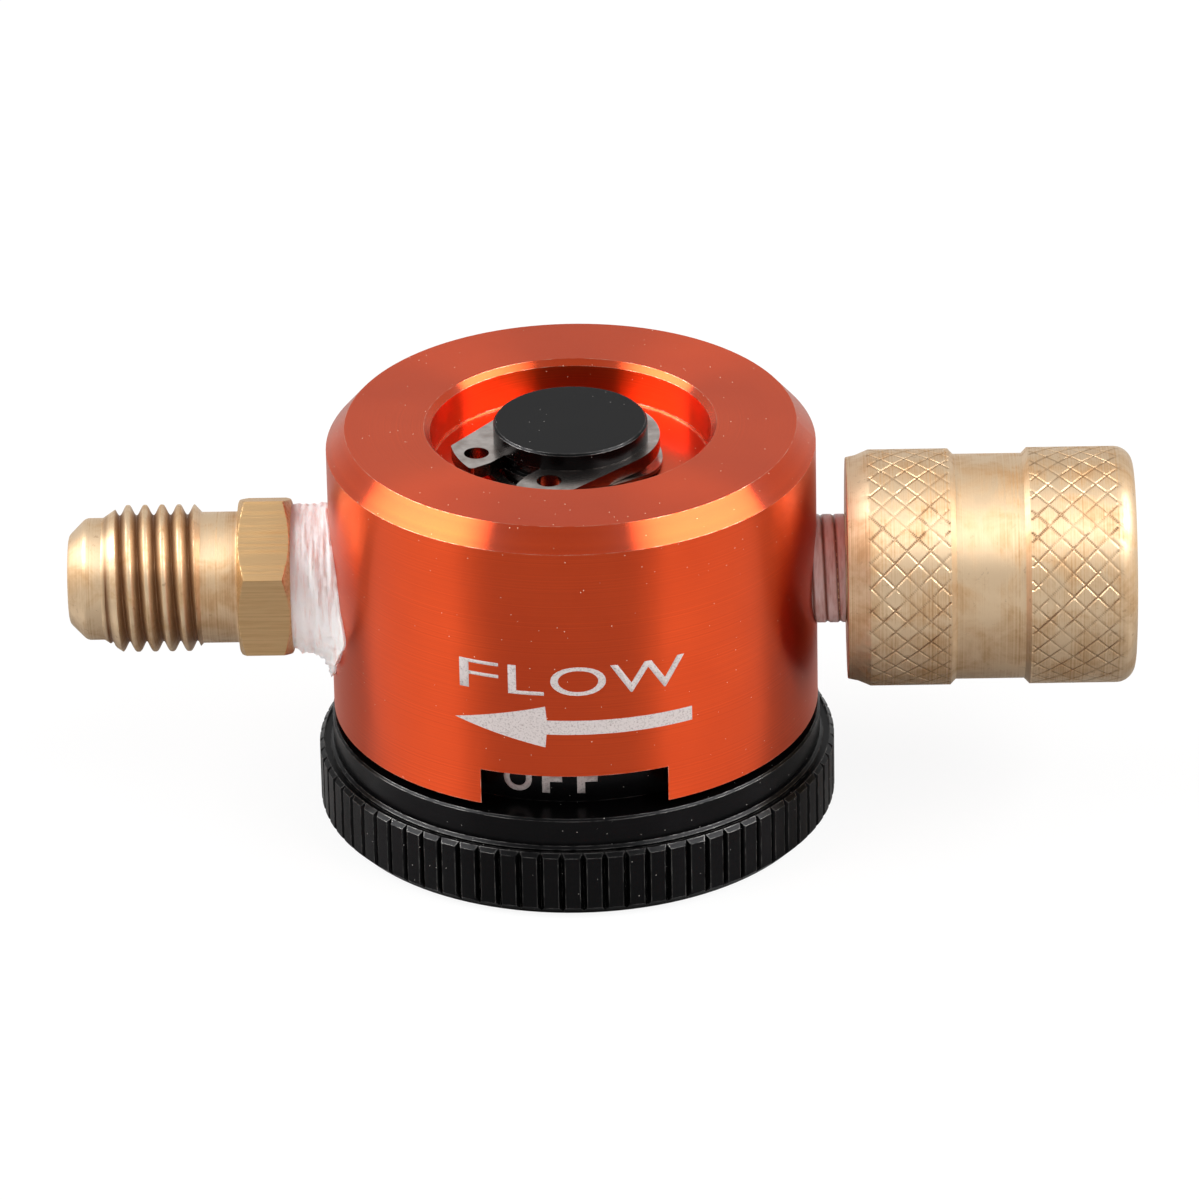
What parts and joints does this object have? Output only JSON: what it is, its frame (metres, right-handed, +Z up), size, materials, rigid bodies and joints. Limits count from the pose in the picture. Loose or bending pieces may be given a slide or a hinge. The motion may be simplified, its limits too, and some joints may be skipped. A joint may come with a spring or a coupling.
{
  "type": "nitrogen flow regulator",
  "caption": "Inline nitrogen flow regulator: orange round body on a knurled selector dial, brass male flare outlet and brass knurled swivel coupler inlet.",
  "frame": {"origin": "centre of the dial's underside, on the spindle's axis", "axes": "+Z up along the spindle, +X along the ports towards the inlet coupler, the window faces -Y"},
  "size_m": [0.0796, 0.0388, 0.0314],
  "materials": {
    "orange_anodised": "satin anodised",
    "black_anodised": "satin anodised",
    "brass": "as machined",
    "spring_steel": "blank",
    "polished_steel": "polished",
    "black_rubber": "matte",
    "white_ptfe": "waxy",
    "thread_paste": "dried smear"
  },
  "bodies": {
    "housing": {"body": "orange_anodised", "outlet_fitting": "brass", "outlet_sealant": "thread_paste", "inlet_nipple": "brass", "inlet_sealant": "thread_paste", "inlet_seat": "white_ptfe", "inlet_seat_ring": "black_rubber", "outlet_seat": "white_ptfe", "outlet_seat_ring": "black_rubber", "detent_ball": "polished_steel", "detent_spring": "spring_steel", "stop_pin": "polished_steel", "thrust_washer": "white_ptfe", "wave_washer": "spring_steel"},
    "dial": {"selector_dial": "black_anodised", "retaining_ring": "spring_steel", "upper_o_ring": "black_rubber", "lower_o_ring": "black_rubber", "purge_jet": "brass", "braze_jet": "brass"},
    "coupler": {"coupler_nut": "brass", "coupler_gasket": "black_rubber"}
  },
  "joints": [
    {"name": "dial_turn", "type": "hinge", "parent": "housing", "child": "dial", "pos_m": [0, 0, 0.01], "axis": [0, 0, 1], "range_deg": [0, 135]},
    {"name": "coupler_spin", "type": "hinge", "parent": "housing", "child": "coupler", "pos_m": [0.029, 0, 0.01875], "axis": [1, 0, 0], "continuous": true}
  ]
}
